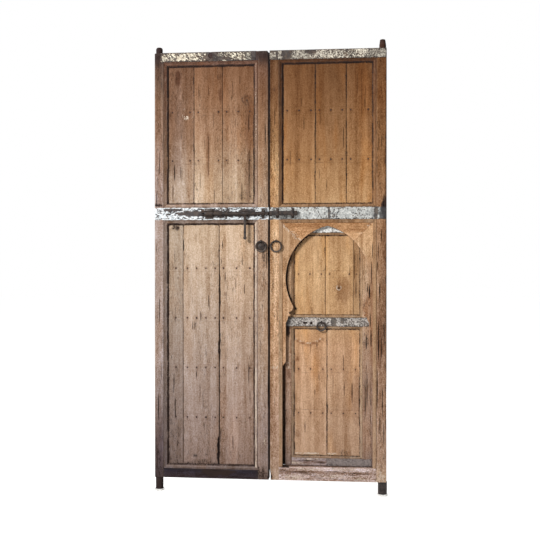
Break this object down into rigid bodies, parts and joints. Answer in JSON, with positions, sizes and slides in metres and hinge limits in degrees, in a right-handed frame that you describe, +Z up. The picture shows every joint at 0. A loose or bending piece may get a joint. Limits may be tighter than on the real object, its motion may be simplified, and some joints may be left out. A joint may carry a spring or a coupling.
{
  "type": "wooden double door with a wicket",
  "caption": "Antique pivot-hung double door of nailed boards with tin-clad rails, ring pulls, a sliding bolt and a wicket behind a horseshoe arch.",
  "frame": {"origin": "on the floor, midway between the leaves and in the plane of the pivots", "axes": "+Z up, -Y towards the street face, +X towards the leaf with the wicket"},
  "size_m": [1.3569, 0.1042, 2.6054],
  "materials": {
    "grey_wood": "weathered",
    "pale_wood": "weathered",
    "golden_wood": "weathered",
    "dark_wood": "blackened",
    "tin": "flaked",
    "limewash": "limewashed",
    "iron": "rusted"
  },
  "bodies": {
    "floor_sockets": {"left_floor_socket": "limewash", "right_floor_socket": "limewash"},
    "left_leaf": {"left_pivot_stile": "grey_wood", "left_meeting_stile": "grey_wood", "left_top_rail": "dark_wood", "left_mid_rail": "dark_wood", "left_bottom_rail": "dark_wood", "left_upper_board_1": "grey_wood", "left_upper_board_2": "grey_wood", "left_upper_board_3": "grey_wood", "left_lower_board_1": "pale_wood", "left_lower_board_2": "pale_wood", "left_lower_board_3": "pale_wood", "left_mouldings": "grey_wood", "left_battens": "grey_wood", "left_nails": "iron", "left_top_tin": "tin", "left_mid_tin": "tin", "left_ring_plate": "iron", "left_ring_eye": "iron", "bolt_guides": "iron"},
    "right_leaf": {"right_pivot_stile": "golden_wood", "right_pivot_shoe": "iron", "right_meeting_stile": "golden_wood", "right_top_rail": "golden_wood", "right_mid_rail": "golden_wood", "right_bottom_rail": "pale_wood", "right_upper_board_1": "golden_wood", "right_upper_board_2": "golden_wood", "right_upper_board_3": "golden_wood", "right_moulding": "golden_wood", "right_battens": "golden_wood", "right_nails": "iron", "right_top_tin": "tin", "right_mid_tin": "tin", "right_ring_eye": "iron", "bolt_keeper": "iron", "keeper_staples": "iron", "arch_head": "golden_wood", "arch_left_jamb": "pale_wood", "arch_right_jamb": "pale_wood", "arch_moulding": "golden_wood"},
    "wicket": {"wicket_hinge_stile": "pale_wood", "wicket_lock_stile": "pale_wood", "wicket_top_rail": "pale_wood", "wicket_mid_rail": "pale_wood", "wicket_bottom_rail": "dark_wood", "wicket_upper_boards": "pale_wood", "wicket_lower_boards": "pale_wood", "wicket_mouldings": "pale_wood", "wicket_battens": "pale_wood", "wicket_nails": "iron", "wicket_tins": "tin", "wicket_ring_eye": "iron"},
    "bolt": {"bolt_bar": "iron", "bolt_collars": "iron"},
    "bolt_handle": {"bolt_handle": "iron"},
    "left_ring": {"left_ring": "iron"},
    "right_ring": {"right_ring": "iron"},
    "wicket_ring": {"wicket_ring": "iron"}
  },
  "joints": [
    {"name": "left_leaf_swing", "type": "hinge", "parent": "floor_sockets", "child": "left_leaf", "pos_m": [-0.64825, 0, 0], "axis": [0, 0, 1], "range_deg": [0, 100]},
    {"name": "right_leaf_swing", "type": "hinge", "parent": "floor_sockets", "child": "right_leaf", "pos_m": [0.64825, 0, 0], "axis": [0, 0, -1], "range_deg": [0, 100]},
    {"name": "wicket_swing", "type": "hinge", "parent": "right_leaf", "child": "wicket", "pos_m": [0.58725, 0.017, 0], "axis": [0, 0, -1], "range_deg": [0, 95]},
    {"name": "bolt_slide", "type": "slide", "parent": "left_leaf", "child": "bolt", "axis": [1, 0, 0], "range_m": [0, 0.06]},
    {"name": "bolt_handle_swing", "type": "hinge", "parent": "bolt", "child": "bolt_handle", "pos_m": [-0.13825, -0.046, 1.6159], "axis": [-1, 0, 0], "range_deg": [0, 100]},
    {"name": "left_ring_swing", "type": "hinge", "parent": "left_leaf", "child": "left_ring", "pos_m": [-0.04625, -0.0382, 1.4554], "axis": [-1, 0, 0], "range_deg": [0, 100]},
    {"name": "right_ring_swing", "type": "hinge", "parent": "right_leaf", "child": "right_ring", "pos_m": [0.04025, -0.0382, 1.4569], "axis": [-1, 0, 0], "range_deg": [0, 100]},
    {"name": "wicket_ring_swing", "type": "hinge", "parent": "wicket", "child": "wicket_ring", "pos_m": [0.29825, -0.0092, 0.9894], "axis": [-1, 0, 0], "range_deg": [0, 100]}
  ]
}
